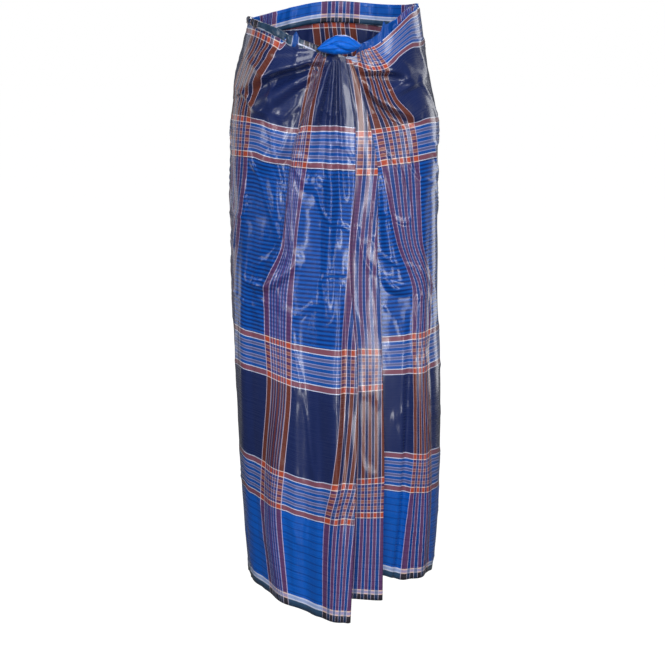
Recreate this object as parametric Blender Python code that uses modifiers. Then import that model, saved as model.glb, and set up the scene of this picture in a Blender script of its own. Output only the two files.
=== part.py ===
"""Wrapped longyi sarong: one cloth tube, pleated at the front and knotted at the waist.

Metres, +Z up, front faces -Y. The origin is the middle of the waist, where the
wearer holds the cloth. Each stretch of the cloth that shows is a thin shell,
lofted from measured tables and given its wall by a Solidify modifier.
"""

import math

import bpy
import numpy as np

for old in list(bpy.data.objects):
    bpy.data.objects.remove(old, do_unlink=True)

# ---- Sizes -------------------------------------------------------------------
WALL = 0.0012  # cloth wall of the solids
SIDE_TUCK = 0.12  # angle, radians, that the front panels reach behind the sides
SEAM_GAP = 0.003  # angle, radians, left open between the back and the front panels
TURN_IN_DEPTH = 0.034  # how far the top edge is turned down inside
TURN_IN_SET = 0.0042  # how far inside the outer layer the turned edge lies

# The wrap as rings: half shape in front and behind is a superellipse.
RING = {
    "z": (-1.00, -0.85, -0.70, -0.53, -0.42, -0.27, -0.14, -0.06, 0.00, 0.08),
    "left": (-0.147, -0.157, -0.165, -0.172, -0.175, -0.1755, -0.1755, -0.169, -0.159, -0.149),
    "right": (0.170, 0.187, 0.191, 0.188, 0.182, 0.182, 0.181, 0.166, 0.157, 0.146),
    "front": (0.097, 0.108, 0.116, 0.119, 0.119, 0.121, 0.123, 0.124, 0.124, 0.124),
    "back": (0.084, 0.095, 0.104, 0.112, 0.119, 0.130, 0.132, 0.122, 0.112, 0.106),
    "front_power": (2.2, 2.6, 3.0, 3.4, 3.4, 3.0, 2.7, 2.5, 2.4, 2.3),
    "back_power": (2.0, 2.0, 2.1, 2.2, 2.3, 2.3, 2.2, 2.1, 2.1, 2.1),
}

# Where the fold edges run, seen from the front.
EDGE_X = {
    "z": (-1.00, -0.87, -0.73, -0.59, -0.34, -0.21, -0.13, -0.02, 0.08),
    "outer_edge": (0.033, 0.035, 0.040, 0.038, 0.030, 0.038, 0.035, 0.020, 0.012),
    "outer_return": (-0.090, -0.090, -0.088, -0.085, -0.085, -0.080, -0.070, -0.050, -0.050),
    "middle_edge": (0.087, 0.089, 0.090, 0.087, 0.078, 0.075, 0.064, 0.032, 0.026),
    "middle_return": (0.002, 0.004, 0.004, 0.000, -0.008, -0.008, 0.000, 0.012, 0.014),
    "right_shows": (0.100, 0.102, 0.103, 0.100, 0.091, 0.088, 0.077, 0.045, 0.039),
}

# How far each layer stands off the ring.
LAYER = {
    "z": (-1.00, -0.85, -0.74, -0.59, -0.42, -0.20, -0.03, 0.08),
    "left_side": (0.018, 0.014, 0.011, 0.0095, 0.009, 0.0090, 0.0080, 0.0080),
    "left_mid": (0.040, 0.030, 0.020, 0.0155, 0.0135, 0.0115, 0.0100, 0.0100),
    "outer_edge": (0.060, 0.044, 0.028, 0.019, 0.0155, 0.0130, 0.0110, 0.0110),
    "outer_return_in": (0.050, 0.036, 0.022, 0.0145, 0.0115, 0.0095, 0.0086, 0.0086),
    "outer_return": (0.014, 0.011, 0.0085, 0.0068, 0.0062, 0.0056, 0.0056, 0.0056),
    "middle_start": (0.009, 0.0065, 0.0050, 0.0040, 0.0034, 0.0030, 0.0030, 0.0030),
    "middle_edge": (0.031, 0.024, 0.016, 0.0108, 0.0085, 0.0070, 0.0064, 0.0064),
    "middle_return_in": (0.024, 0.018, 0.0115, 0.0074, 0.0056, 0.0046, 0.0042, 0.0042),
    "middle_return": (0.006, 0.0046, 0.0036, 0.0030, 0.0026, 0.0022, 0.0020, 0.0020),
    "ring": (0.0,) * 8,
}

# Height of the cloth's weft lines: v is the distance up the cloth from the hem,
# and each row is the height of those lines down one upright line of the wrap.
WEFT_V = (0.0, 0.171, 0.247, 0.390, 0.467, 0.771, 0.848, 0.991)
WEFT_Z = {
    "left_end": (-0.937, -0.772, -0.697, -0.551, -0.476, -0.187, -0.113, 0.022),
    "left_crease": (-0.934, -0.769, -0.693, -0.547, -0.474, -0.186, -0.115, 0.017),
    "left_side": (-0.945, -0.780, -0.708, -0.557, -0.484, -0.191, -0.125, 0.004),
    "left_mid": (-0.968, -0.804, -0.731, -0.576, -0.499, -0.200, -0.131, -0.019),
    "hidden": (-0.962, -0.804, -0.731, -0.576, -0.499, -0.204, -0.134, -0.024),
    "outer_edge": (-0.983, -0.811, -0.738, -0.590, -0.512, -0.206, -0.131, -0.024),
    "middle": (-0.955, -0.803, -0.731, -0.580, -0.505, -0.212, -0.138, -0.032),
    "right_start": (-0.918, -0.757, -0.689, -0.555, -0.487, -0.202, -0.136, -0.030),
    "right_mid": (-0.926, -0.763, -0.692, -0.555, -0.486, -0.197, -0.132, -0.030),
    "right_crease": (-0.930, -0.770, -0.698, -0.552, -0.484, -0.192, -0.127, -0.006),
    "right_end": (-0.934, -0.771, -0.697, -0.545, -0.477, -0.190, -0.119, 0.010),
    "back": (-0.930, -0.768, -0.693, -0.548, -0.472, -0.180, -0.106, 0.030),
}
# The waist edge: how high it stands, and which weft line it falls on.
WAIST = {
    "left_end": (0.044, 1.016),
    "left_crease": (0.038, 1.015),
    "left_side": (0.026, 1.015),
    "left_mid": (0.006, 1.020),
    "hidden": (-0.022, 0.994),
    "outer_edge": (-0.019, 0.998),
    "middle": (-0.024, 1.000),
    "right_start": (-0.018, 1.010),
    "right_mid": (0.036, 1.062),
    "right_crease": (0.056, 1.060),
    "right_end": (0.068, 1.050),
    "back": (0.074, 1.036),
}

# Folds that stand out of the cloth: each row is a point of the fold's line with
# how far it stands out and how far it reaches to either side.
FOLDS = {
    "centre_gather": (  # x, z, height, reach
        (0.000, -0.030, 0.002, 0.018),
        (-0.029, -0.091, 0.009, 0.030),
        (-0.060, -0.160, 0.010, 0.034),
        (-0.074, -0.270, 0.008, 0.036),
        (-0.100, -0.370, 0.003, 0.034),
    ),
    "centre_ridge": (
        (0.003, -0.040, 0.001, 0.010),
        (-0.002, -0.130, 0.005, 0.018),
        (-0.008, -0.260, 0.005, 0.024),
        (-0.004, -0.420, 0.001, 0.026),
    ),
    "left_swag": (
        (-0.014, -0.030, 0.002, 0.010),
        (-0.057, -0.034, 0.008, 0.016),
        (-0.116, -0.058, 0.007, 0.020),
        (-0.156, -0.088, 0.003, 0.020),
    ),
    "left_swag_lower": (
        (-0.037, -0.050, 0.003, 0.010),
        (-0.063, -0.062, 0.005, 0.014),
        (-0.127, -0.108, 0.002, 0.018),
    ),
    "right_swag": (
        (0.036, -0.030, 0.004, 0.012),
        (0.070, -0.030, 0.009, 0.018),
        (0.100, -0.030, 0.008, 0.020),
        (0.135, -0.046, 0.002, 0.020),
    ),
    "right_swag_lower": (
        (0.040, -0.060, 0.003, 0.010),
        (0.062, -0.086, 0.006, 0.014),
        (0.104, -0.106, 0.002, 0.016),
    ),
}

BACK_FOLDS = (  # angle round the wrap, height, reach in radians, z of the top
    (3.75, 0.007, 0.16, -0.10),
    (4.45, 0.009, 0.20, -0.16),
    (5.20, 0.006, 0.15, -0.12),
    (5.78, 0.007, 0.17, -0.20),
)


# ---- Tables and rings --------------------------------------------------------
def smooth(at, knots, values):
    """Monotone cubic through a table."""
    knots = np.asarray(knots, float)
    values = np.asarray(values, float)
    step = np.diff(knots)
    slope = np.diff(values) / step
    lean = np.zeros(len(values))
    for k in range(1, len(step)):
        if slope[k - 1] * slope[k] > 0:
            wide, near = 2 * step[k] + step[k - 1], step[k] + 2 * step[k - 1]
            lean[k] = (wide + near) / (wide / slope[k - 1] + near / slope[k])
    lean[0], lean[-1] = slope[0], slope[-1]
    at = np.clip(np.asarray(at, float), knots[0], knots[-1])
    k = np.clip(np.searchsorted(knots, at, side="right") - 1, 0, len(step) - 1)
    t = (at - knots[k]) / step[k]
    return (
        (1 + 2 * t) * (1 - t) ** 2 * values[k]
        + t * (1 - t) ** 2 * step[k] * lean[k]
        + t * t * (3 - 2 * t) * values[k + 1]
        + t * t * (t - 1) * step[k] * lean[k + 1]
    )


def ring_size(z):
    """Middle x, half width, and the level's other columns at height z."""
    left, right, front, back, front_power, back_power = (
        smooth(z, RING["z"], RING[name])
        for name in ("left", "right", "front", "back", "front_power", "back_power")
    )
    return (left + right) / 2, (right - left) / 2, front, back, front_power, back_power


def ring(angle, z):
    """Point of the ring: angle 0 is the left side, pi/2 the front, pi the right."""
    middle, half, front, back, front_power, back_power = ring_size(z)
    c, s = np.cos(angle), np.sin(angle)
    depth = np.where(s > 0, front, back)
    power = np.where(s > 0, front_power, back_power)
    reach = (np.abs(c / half) ** power + np.abs(s / depth) ** power) ** (-1 / power)
    return middle - reach * c, -reach * s


def front_angle(x, z):
    """Angle of the front point that stands at x."""
    middle, half, front, _, power, _ = ring_size(z)
    share = np.clip((x - middle) / half, -0.9995, 0.9995)
    depth = front * (1 - np.abs(share) ** power) ** (1 / power)
    return np.arctan2(depth, middle - x)


def weft_height(station, v):
    """Height of weft line v on one upright line of the wrap."""
    top_z, top_v = WAIST[station]
    return smooth(v, WEFT_V + (top_v,), WEFT_Z[station] + (top_z,))


# ---- Folds -------------------------------------------------------------------
def fold_height(x, z, rows):
    """How far one fold lifts the cloth at each point, seen from the front."""
    best = np.full(x.shape, 9.0)
    lift = np.zeros(x.shape)
    for (x0, z0, h0, r0), (x1, z1, h1, r1) in zip(rows, rows[1:]):
        dx, dz = x1 - x0, z1 - z0
        along = np.clip(((x - x0) * dx + (z - z0) * dz) / (dx * dx + dz * dz), 0, 1)
        away = np.hypot(x - x0 - along * dx, z - z0 - along * dz)
        reach = r0 + along * (r1 - r0)
        shape = np.clip(1 - (away / reach) ** 2, 0, 1) ** 2
        near = away / reach < best
        lift = np.where(near, (h0 + along * (h1 - h0)) * shape, lift)
        best = np.where(near, away / reach, best)
    return lift


def front_lift(x, z):
    """Sum of the front folds."""
    return sum(fold_height(x, z, rows) for rows in FOLDS.values())


def back_lift(angle, z):
    """Soft upright folds of the back, fading towards the seat."""
    lift = np.zeros(angle.shape)
    for middle, height, reach, top in BACK_FOLDS:
        shape = np.exp(-(((angle - middle) / reach) ** 2))
        lift = lift + height * shape * np.clip((top - z) / 0.5, 0, 1)
    return lift


def placed(angle, z, off, folded, where):
    """World points at a distance off the ring, with a share of the folds added."""
    x, y = ring(angle, z)
    ahead_x, ahead_y = ring(angle + 0.002, z)
    tx, ty = ahead_x - x, ahead_y - y
    length = np.hypot(tx, ty)
    nx, ny = ty / length, -tx / length
    lift = off + folded * (front_lift(x, z) if where == "front" else back_lift(angle, z))
    return np.stack([x + nx * lift, y + ny * lift, z], axis=-1)


# ---- Meshes ------------------------------------------------------------------
def grid_object(name, points, colour, wall=WALL):
    """A sheet through a grid of points, given its wall by Solidify."""
    rows, cols = points.shape[:2]
    faces = [
        (r * cols + c, r * cols + c + 1, (r + 1) * cols + c + 1, (r + 1) * cols + c)
        for r in range(rows - 1)
        for c in range(cols - 1)
    ]
    mesh = bpy.data.meshes.new(name)
    mesh.from_pydata(points.reshape(-1, 3).tolist(), [], faces)
    mesh.update()
    ob = bpy.data.objects.new(name, mesh)
    collection.objects.link(ob)
    solid = ob.modifiers.new("cloth wall", "SOLIDIFY")
    solid.thickness = wall
    solid.offset = 0
    material = bpy.data.materials.new(name + "_cloth")
    material.use_nodes = True
    shader = material.node_tree.nodes["Principled BSDF"]
    shader.inputs["Base Color"].default_value = (*colour, 1)
    shader.inputs["Roughness"].default_value = 0.45
    mesh.materials.append(material)
    return ob


def between(columns, key, at):
    """A column quantity carried smoothly across the stations."""
    knots = [c["at"] for c in columns]
    return smooth(at, knots, [c[key] for c in columns])


def front_sheet(name, stations, rows, colour):
    """A front stretch from its stations, left to right, or back under a fold.

    Each station is (where, weft line set, layer, share of the folds it takes,
    columns to the next station), and where is a column of EDGE_X, an x, or an angle.
    """
    at = [float(k) for k in range(len(stations))]
    spots = np.concatenate(
        [np.linspace(k, k + 1, s[4], endpoint=False) for k, s in enumerate(stations[:-1])]
        + [[at[-1]]]
    )
    folded = smooth(spots, at, [s[3] for s in stations])
    up = np.linspace(0, 1, rows)
    grid = []
    for t in up:
        heights, angles, offs = [], [], []
        for where, weft, layer, _, _ in stations:
            z = float(weft_height(weft, t * WAIST[weft][1]))
            if isinstance(where, tuple):
                angle = where[1]
            else:
                x = smooth(z, EDGE_X["z"], EDGE_X[where]) if isinstance(where, str) else where
                angle = float(front_angle(x, z))
            heights.append(z)
            angles.append(angle)
            offs.append(float(smooth(z, LAYER["z"], LAYER[layer])))
        z = smooth(spots, at, heights)
        off = smooth(spots, at, offs)
        grid.append(placed(smooth(spots, at, angles), z, off, folded, "front"))
    return grid_object(name, np.array(grid), colour)


collection = bpy.data.collections.new("longyi_sarong")
bpy.context.scene.collection.children.link(collection)

# ---- The tube ----------------------------------------------------------------
LEFT_END = ("angle", -SIDE_TUCK)
RIGHT_END = ("angle", math.pi + SIDE_TUCK)

front_sheet(
    "left_panel",
    (
        (LEFT_END, "left_end", "ring", 1, 4),
        (-0.146, "left_crease", "ring", 1, 3),
        (-0.105, "left_side", "left_side", 1, 4),
        (-0.055, "left_mid", "left_mid", 1, 6),
        ("outer_edge", "outer_edge", "outer_edge", 0, 2),
        ("outer_edge", "outer_edge", "outer_return_in", 0, 5),
        ("outer_return", "hidden", "outer_return", 0, 1),
    ),
    31,
    (0.02, 0.10, 0.45),
)
front_sheet(
    "middle_pleat",
    (
        ("outer_return", "hidden", "middle_start", 0, 6),
        ("middle_edge", "middle", "middle_edge", 0, 2),
        ("middle_edge", "middle", "middle_return_in", 0, 4),
        ("middle_return", "middle", "middle_return", 0, 1),
    ),
    26,
    (0.10, 0.05, 0.25),
)
front_sheet(
    "right_panel",
    (
        ("middle_return", "right_start", "ring", 0, 3),
        ("middle_edge", "right_start", "ring", 0, 1),
        ("right_shows", "right_start", "ring", 1, 3),
        (0.118, "right_mid", "ring", 1, 3),
        (0.150, "right_crease", "ring", 1, 5),
        (RIGHT_END, "right_end", "ring", 1, 1),
    ),
    31,
    (0.02, 0.09, 0.40),
)


def back_sheet(name, first, last, cols, rows, colour):
    """The stretch round the back, between two angles."""
    angles = np.linspace(first, last, cols)
    share = np.sin(math.pi * np.linspace(0, 1, cols)) ** 0.7
    grid = []
    for t in np.linspace(0, 1, rows):
        sides = np.linspace(
            float(weft_height("right_end", t * WAIST["right_end"][1])),
            float(weft_height("left_end", t * WAIST["left_end"][1])),
            cols,
        )
        middle = float(weft_height("back", t * WAIST["back"][1]))
        grid.append(placed(angles, sides + share * (middle - sides), 0.0, 1.0, "back"))
    return grid_object(name, np.array(grid), colour)


back_sheet(
    "back_panel",
    math.pi + SIDE_TUCK + SEAM_GAP,
    2 * math.pi - SIDE_TUCK - SEAM_GAP,
    20,
    25,
    (0.02, 0.08, 0.36),
)


# ---- Top edge turned inside --------------------------------------------------
def turn_in(name, stations, front, colour):
    """The edge of the cloth turned down inside the waist, as a short strip."""
    at = [float(k) for k in range(len(stations))]
    spots = np.linspace(0, at[-1], 5 * (len(stations) - 1) + 1)
    grid = []
    for down, sets in ((TURN_IN_DEPTH, 1.5), (TURN_IN_DEPTH / 2, 1.3), (-0.004, 1.0)):
        heights, angles, offs = [], [], []
        for where, weft, layer in stations:
            z = WAIST[weft][0] - down
            angle = where[1] if isinstance(where, tuple) else float(front_angle(where, z))
            heights.append(z)
            angles.append(angle)
            offs.append(float(smooth(z, LAYER["z"], LAYER[layer])) - TURN_IN_SET * sets)
        z = smooth(spots, at, heights)
        off = smooth(spots, at, offs)
        where = "front" if front else "back"
        grid.append(placed(smooth(spots, at, angles), z, off, 0.0, where))
    return grid_object(name, np.array(grid), colour)


turn_in(
    "left_turn_in",
    (
        (LEFT_END, "left_end", "ring"),
        (-0.138, "left_crease", "ring"),
        (-0.105, "left_side", "left_side"),
        (-0.066, "left_mid", "left_mid"),
    ),
    True,
    (0.03, 0.05, 0.20),
)
turn_in(
    "right_turn_in",
    (
        (0.070, "right_start", "ring"),
        (0.112, "right_mid", "ring"),
        (0.138, "right_crease", "ring"),
        (RIGHT_END, "right_end", "ring"),
    ),
    True,
    (0.03, 0.05, 0.20),
)
turn_in(
    "back_turn_in",
    (
        (("angle", math.pi + SIDE_TUCK + 0.05), "right_end", "ring"),
        (("angle", 1.5 * math.pi), "back", "ring"),
        (("angle", 2 * math.pi - SIDE_TUCK - 0.05), "left_end", "ring"),
    ),
    False,
    (0.03, 0.05, 0.20),
)

# ---- Knot --------------------------------------------------------------------
KNOT_LEFT, KNOT_RIGHT = -0.020, 0.056  # x of the pinched ends
KNOT_Y, KNOT_Z = -0.1470, -0.0025  # middle of the bulge's cross section
KNOT_OUT, KNOT_UP = 0.0260, 0.0185  # half sizes of that section, out and up
KNOT_IN = 0.0360  # half size of its back half, which hooks over the waist edge
KNOT_LEAN = 0.016  # how far the pinched ends stand out over the panels

share = np.linspace(0, 1, 15)
bow = np.sin(math.pi * share)
knot = np.empty((len(share), 13, 3))
for row, (s, bend) in enumerate(zip(share, bow)):
    size = 0.30 + 0.70 * bend**0.8
    # from inside the waist, over the top edge, and down to the front tuck
    turns = np.radians(np.linspace(78 - 106 * bend, 240, knot.shape[1]))
    knot[row, :, 0] = KNOT_LEFT + s * (KNOT_RIGHT - KNOT_LEFT)
    reach = np.where(np.cos(turns) > 0, KNOT_IN, KNOT_OUT) * size
    knot[row, :, 1] = KNOT_Y - KNOT_LEAN * (1 - size) + reach * np.cos(turns)
    knot[row, :, 2] = KNOT_Z + 0.004 * (1 - size) + KNOT_UP * size * np.sin(turns)
grid_object("knot", knot, (0.01, 0.16, 0.66))
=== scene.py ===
# %% [markdown]
# # A wrapped longyi sarong
#
# A longyi is one wide tube of checked cotton. The wearer steps in, folds the
# spare width over itself at the front and knots it at the waist. This lesson
# makes that cloth as a few thin sheets: the left panel with its deep pleat, the
# middle pleat that shows beside it, the right panel, the back, the turned-in
# top edge and the knot. Each sheet is a grid whose columns follow the warp and
# whose rows follow the weft, so the woven checks bend with every fold.

# %% The frame
import math

import bpy
import numpy as np
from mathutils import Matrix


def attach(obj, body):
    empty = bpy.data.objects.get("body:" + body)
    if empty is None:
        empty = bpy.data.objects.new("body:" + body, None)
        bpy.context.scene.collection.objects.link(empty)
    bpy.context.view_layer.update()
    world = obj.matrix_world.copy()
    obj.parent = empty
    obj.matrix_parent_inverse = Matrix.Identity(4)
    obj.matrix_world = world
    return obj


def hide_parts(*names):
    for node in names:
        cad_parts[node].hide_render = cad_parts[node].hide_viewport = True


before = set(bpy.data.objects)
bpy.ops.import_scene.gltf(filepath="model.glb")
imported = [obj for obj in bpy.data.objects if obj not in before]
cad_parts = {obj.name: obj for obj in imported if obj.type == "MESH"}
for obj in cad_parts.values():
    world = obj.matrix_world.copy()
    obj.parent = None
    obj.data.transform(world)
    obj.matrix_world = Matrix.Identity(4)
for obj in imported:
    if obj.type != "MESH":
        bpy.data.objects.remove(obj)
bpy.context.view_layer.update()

# %% [markdown]
# ## Camera, floor and light
#
# The cloth is seen from straight ahead and a little above, with a long lens.
# The floor is a plain pale sheet far wider than the view. It could be a curved
# studio sweep, but a wall would get in the way of a look at the back.

# %% Camera
lens = bpy.data.cameras.new("camera")
lens.sensor_width = 36
lens.lens = 90.13
lens.clip_end = 100
camera = bpy.data.objects.new("camera", lens)
camera.location = (0, -2.9, 0)
camera.rotation_euler = (math.radians(90 - 9.8), 0, 0)
bpy.context.scene.collection.objects.link(camera)
bpy.context.scene.camera = camera
print("camera", round(2 * math.degrees(math.atan(18 / lens.lens)), 1), "degrees wide")

# %% Floor
FLOOR_Z = -1.045
floor_mesh = bpy.data.meshes.new("floor")
floor_mesh.from_pydata(
    [(x, y, FLOOR_Z) for x, y in ((-40, -40), (40, -40), (40, 40), (-40, 40))],
    [],
    [(0, 1, 2, 3)],
)
floor = bpy.data.objects.new("floor", floor_mesh)
bpy.context.scene.collection.objects.link(floor)
floor_paint = bpy.data.materials.new("pale floor")
floor_paint.use_nodes = True
paint = floor_paint.node_tree.nodes["Principled BSDF"]
paint.inputs["Base Color"].default_value = (0.12, 0.12, 0.12, 1)
paint.inputs["Roughness"].default_value = 1.0
paint.inputs["Specular IOR Level"].default_value = 0.0
paint.inputs["Emission Color"].default_value = (1, 1, 1, 1)
paint.inputs["Emission Strength"].default_value = 0.99
floor_mesh.materials.append(floor_paint)
floor.visible_glossy = False
floor.visible_diffuse = False
print("floor at", FLOOR_Z)

# %% [markdown]
# The cloth is glazed, so what it mirrors matters as much as what lights it.
# Large soft panels give the broad pale sheen on the folds; small lamps would
# give hard dots. The world behind is white, but it lights the cloth only a
# little, so the darks of the weave stay dark. The floor glows by itself and
# stays pale under any lamp.

# %% Lights
scene = bpy.context.scene
scene.view_settings.view_transform = "Standard"
world = bpy.data.worlds.new("studio")
scene.world = world
world.use_nodes = True
sky = world.node_tree
sky.nodes.clear()
seen = sky.nodes.new("ShaderNodeBackground")
seen.inputs["Color"].default_value = (1, 1, 1, 1)
seen.inputs["Strength"].default_value = 1.0
ambient = sky.nodes.new("ShaderNodeBackground")
ambient.inputs["Color"].default_value = (0.95, 0.97, 1, 1)
ambient.inputs["Strength"].default_value = 0.10
ray = sky.nodes.new("ShaderNodeLightPath")
either = sky.nodes.new("ShaderNodeMixShader")
out = sky.nodes.new("ShaderNodeOutputWorld")
sky.links.new(ray.outputs["Is Camera Ray"], either.inputs["Fac"])
sky.links.new(ambient.outputs[0], either.inputs[1])
sky.links.new(seen.outputs[0], either.inputs[2])
sky.links.new(either.outputs[0], out.inputs["Surface"])

LIGHTS = (  # name, place, aims at, width, height, watts
    ("key panel", (-0.55, -2.7, 1.25), (0, 0, -0.35), 0.60, 1.2, 33),
    ("front strip", (0.42, -3.15, -0.05), (0, 0, -0.40), 0.24, 1.9, 22.5),
    ("left front strip", (-0.95, -3.0, -0.10), (0, 0, -0.40), 0.16, 1.5, 7),
    ("fill panel", (1.9, -1.7, 0.5), (0, 0, -0.45), 0.6, 1.5, 20),
    ("left strip", (-2.3, -0.9, 0.3), (0, 0, -0.40), 0.3, 1.4, 7),
    ("upper left panel", (-1.35, -2.4, 1.3), (0, 0, -0.20), 0.4, 0.6, 10),
    ("left rim", (-1.7, 1.5, -0.2), (0, 0, -0.45), 0.8, 1.7, 3.4),
    ("right rim", (1.8, 1.5, -0.2), (0, 0, -0.45), 0.8, 1.7, 9),
    ("low panel", (0.30, -1.9, -0.90), (0, 0, -0.6), 0.35, 0.28, 2.4),
    ("low right panel", (1.35, -1.75, -0.88), (0, 0, -0.6), 0.40, 0.30, 3.2),
    ("top panel", (0.0, -1.4, 2.2), (0, 0, -0.20), 1.0, 0.8, 18),
    ("back panel", (0.4, 2.8, 1.4), (0, 0, -0.4), 1.4, 1.2, 55),
)
for name, place, aim, wide, tall, watts in LIGHTS:
    lamp = bpy.data.lights.new(name, "AREA")
    lamp.shape = "RECTANGLE"
    lamp.size, lamp.size_y, lamp.energy = wide, tall, watts
    stand = bpy.data.objects.new(name, lamp)
    stand.location = place
    way = [a - p for a, p in zip(aim, place)]
    flat = math.hypot(way[0], way[1])
    stand.rotation_euler = (math.atan2(flat, -way[2]), 0, math.atan2(way[1], way[0]) - math.pi / 2)
    stand.visible_camera = False
    scene.collection.objects.link(stand)
print(len(LIGHTS), "soft panels")

# %% [markdown]
# ## Tables that hold the shape
#
# The wrap is a soft barrel round the hips that narrows to the hem. It could be
# sculpted, but tables keep each measure in one place. Between the rows of a
# table a monotone cubic runs through the values: it is smooth and never
# overshoots, so layers that must not cross never do.

# %% A smooth walk through a table
def mm(*values):
    """Millimetres as metres."""
    return tuple(value / 1000 for value in values)


def smooth(at, knots, values):
    """Monotone cubic through a table."""
    knots = np.asarray(knots, float)
    values = np.asarray(values, float)
    step = np.diff(knots)
    slope = np.diff(values) / step
    lean = np.zeros(len(values))
    for k in range(1, len(step)):
        if slope[k - 1] * slope[k] > 0:
            wide, near = 2 * step[k] + step[k - 1], step[k] + 2 * step[k - 1]
            lean[k] = (wide + near) / (wide / slope[k - 1] + near / slope[k])
    lean[0], lean[-1] = slope[0], slope[-1]
    at = np.clip(np.asarray(at, float), knots[0], knots[-1])
    k = np.clip(np.searchsorted(knots, at, side="right") - 1, 0, len(step) - 1)
    t = (at - knots[k]) / step[k]
    return (
        (1 + 2 * t) * (1 - t) ** 2 * values[k]
        + t * (1 - t) ** 2 * step[k] * lean[k]
        + t * t * (3 - 2 * t) * values[k + 1]
        + t * t * (t - 1) * step[k] * lean[k + 1]
    )


def ease(t):
    """0 to 1 with level ends."""
    t = np.clip(t, 0, 1)
    return t * t * (3 - 2 * t)


print("half way from 0 to 10 mm is", float(smooth(0.5, (0, 1), mm(0, 10))), "m")

# %% The wrap as rings
RING = {
    "z": (-1.00, -0.85, -0.70, -0.53, -0.42, -0.27, -0.14, -0.06, 0.00, 0.08),
    "left": mm(-147, -157, -165, -172, -175, -175.5, -175, -166, -152, -134),
    "right": mm(170, 187, 191, 188, 182, 182, 181, 166, 157, 146),
    "front": mm(97, 108, 116, 119, 119, 121, 123, 124, 124, 124),
    "back": mm(84, 95, 104, 112, 119, 130, 132, 122, 112, 106),
    "front_power": (2.2, 2.6, 3.0, 3.4, 3.4, 3.0, 2.7, 2.5, 2.4, 2.3),
    "back_power": (2.0, 2.0, 2.1, 2.2, 2.3, 2.3, 2.2, 2.1, 2.1, 2.1),
}


def ring_size(z):
    """Middle x, half width, and the level's other columns at height z."""
    left, right, front, back, front_power, back_power = (
        smooth(z, RING["z"], RING[name])
        for name in ("left", "right", "front", "back", "front_power", "back_power")
    )
    return (left + right) / 2, (right - left) / 2, front, back, front_power, back_power


def ring(angle, z):
    """Point of the ring: angle 0 is the left side, pi/2 the front, pi the right."""
    middle, half, front, back, front_power, back_power = ring_size(z)
    c, s = np.cos(angle), np.sin(angle)
    depth = np.where(s > 0, front, back)
    power = np.where(s > 0, front_power, back_power)
    reach = (np.abs(c / half) ** power + np.abs(s / depth) ** power) ** (-1 / power)
    return middle - reach * c, -reach * s


def front_angle(x, z):
    """Angle of the front point that stands at x."""
    middle, half, front, _, power, _ = ring_size(z)
    share = np.clip((x - middle) / half, -0.9995, 0.9995)
    depth = front * (1 - np.abs(share) ** power) ** (1 / power)
    return np.arctan2(depth, middle - x)


for level in (-0.95, -0.5, -0.2, 0.0):
    left_x, right_x = float(ring(0.0, level)[0]), float(ring(math.pi, level)[0])
    print("ring at", level, "is", round(right_x - left_x, 3), "m wide")

# %% [markdown]
# At the front the cloth lies in three layers. Each layer stands a little
# further off the ring, and they splay apart towards the hem, where nothing
# holds them together.

# %% Distances off the ring
LAYER = {
    "z": (-1.00, -0.85, -0.74, -0.59, -0.42, -0.20, -0.03, 0.08),
    "left_side": mm(18, 14, 11, 9.5, 9, 9, 8, 8),
    "left_mid": mm(40, 30, 20, 15.5, 13.5, 11.5, 10, 10),
    "outer_edge": mm(60, 44, 28, 19, 15.5, 13, 11, 11),
    "outer_return_in": mm(50, 36, 22, 14.5, 11.5, 9.5, 8.6, 8.6),
    "outer_return": mm(14, 11, 8.5, 6.8, 6.2, 5.6, 5.6, 5.6),
    "middle_start": mm(9, 6.5, 5, 4, 3.4, 3, 3, 3),
    "middle_edge": mm(31, 24, 16, 10.8, 8.5, 7, 6.4, 6.4),
    "middle_return_in": mm(24, 18, 11.5, 7.4, 5.6, 4.6, 4.2, 4.2),
    "middle_return": mm(6, 4.6, 3.6, 3, 2.6, 2.2, 2, 2),
}


def layer(name, z):
    """How far a layer stands off the ring at height z."""
    return smooth(z, LAYER["z"], LAYER[name])


print("at the hem the outer fold edge stands", round(float(layer("outer_edge", -0.98)) * 1000), "mm off")

# %% [markdown]
# ## Warp lines
#
# A station is one upright line of the cloth. For each of a dozen weft lines it
# says where the line crosses it, by x, by an angle or by a share of the way
# between two other stations, and its height z. Some also say which warp thread
# runs there, counted round the tube from the left edge of a wide brown group.
# The hidden stations are where a pleat's return, or the layer under it, ends.

# %% Stations
LINES = (0.0, 0.171, 0.247, 0.390, 0.467, 0.540, 0.632, 0.771, 0.848, 0.930, 0.991)

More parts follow.
